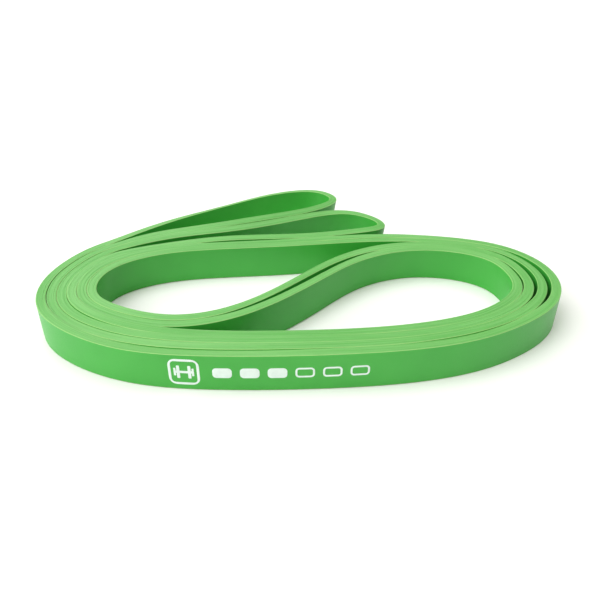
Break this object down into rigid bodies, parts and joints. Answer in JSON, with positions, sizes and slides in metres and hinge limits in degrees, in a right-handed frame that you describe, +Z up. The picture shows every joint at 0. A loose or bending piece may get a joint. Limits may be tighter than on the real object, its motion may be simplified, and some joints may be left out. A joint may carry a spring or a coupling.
{
  "type": "resistance band",
  "caption": "Endless flat rubber exercise band, doubled and laid on its edge in a loose coil with two open loop ends behind.",
  "frame": {"origin": "on the surface the band stands on, under the middle of the whole coil's outline", "axes": "+Z up, across the band's width; +X along the coil's longest side, to the right as seen from the printed front; +Y from the printed front to the two folded ends"},
  "size_m": [0.1824, 0.1316, 0.0127],
  "materials": {
    "latex_skin": "smooth semi-gloss moulded latex, mid green",
    "latex_core": "matte cut edge of the inner latex plies, lighter green",
    "print_ink": "thin white screen-printed ink"
  },
  "bodies": {
    "coil": {"coil_outer_ply": "latex_skin", "coil_core_ply": "latex_core", "coil_inner_ply": "latex_skin", "badge_print": "print_ink", "gauge_print": "print_ink"},
    "front_ear": {"front_ear_outer_ply": "latex_skin", "front_ear_core_ply": "latex_core", "front_ear_inner_ply": "latex_skin"},
    "rear_ear": {"rear_ear_outer_ply": "latex_skin", "rear_ear_core_ply": "latex_core", "rear_ear_inner_ply": "latex_skin"}
  },
  "joints": [
    {"name": "ears_flex", "type": "hinge", "parent": "coil", "child": "front_ear", "pos_m": [-0.0787, -0.00245, 0.00635], "axis": [0, 0, 1], "range_deg": [0, 30], "stiffness_Nm_per_rad": 0.008},
    {"name": "rear_ear_flex", "type": "hinge", "parent": "front_ear", "child": "rear_ear", "pos_m": [-0.06896, 0.01321, 0.00635], "axis": [0, 0, 1], "range_deg": [0, 25], "stiffness_Nm_per_rad": 0.004}
  ]
}
